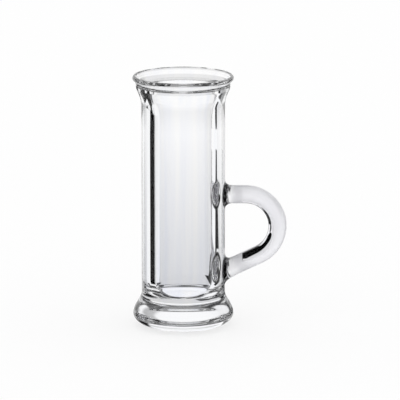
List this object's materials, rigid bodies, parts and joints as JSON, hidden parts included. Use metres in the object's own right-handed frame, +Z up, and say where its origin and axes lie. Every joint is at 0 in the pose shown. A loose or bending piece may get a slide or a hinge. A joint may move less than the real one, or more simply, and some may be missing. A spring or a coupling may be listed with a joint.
{
  "type": "handled shot glass",
  "caption": "Tall clear shot glass: thick straight bowl with a flared bead lip, solid flared foot and a bent glass rod handle.",
  "frame": {"origin": "centre of the foot's flat underside, on the bowl's axis", "axes": "+Z up along the bowl's axis, +X towards the handle"},
  "size_m": [0.0671, 0.044, 0.111],
  "materials": {
    "bowl": "clear polished",
    "foot": "clear polished",
    "handle": "clear fire-polished",
    "upper_handle_seal": "clear fire-polished",
    "lower_handle_seal": "clear fire-polished"
  },
  "bodies": {
    "root": {"bowl": "bowl", "foot": "foot", "handle": "handle", "upper_handle_seal": "upper_handle_seal", "lower_handle_seal": "lower_handle_seal"}
  },
  "joints": []
}
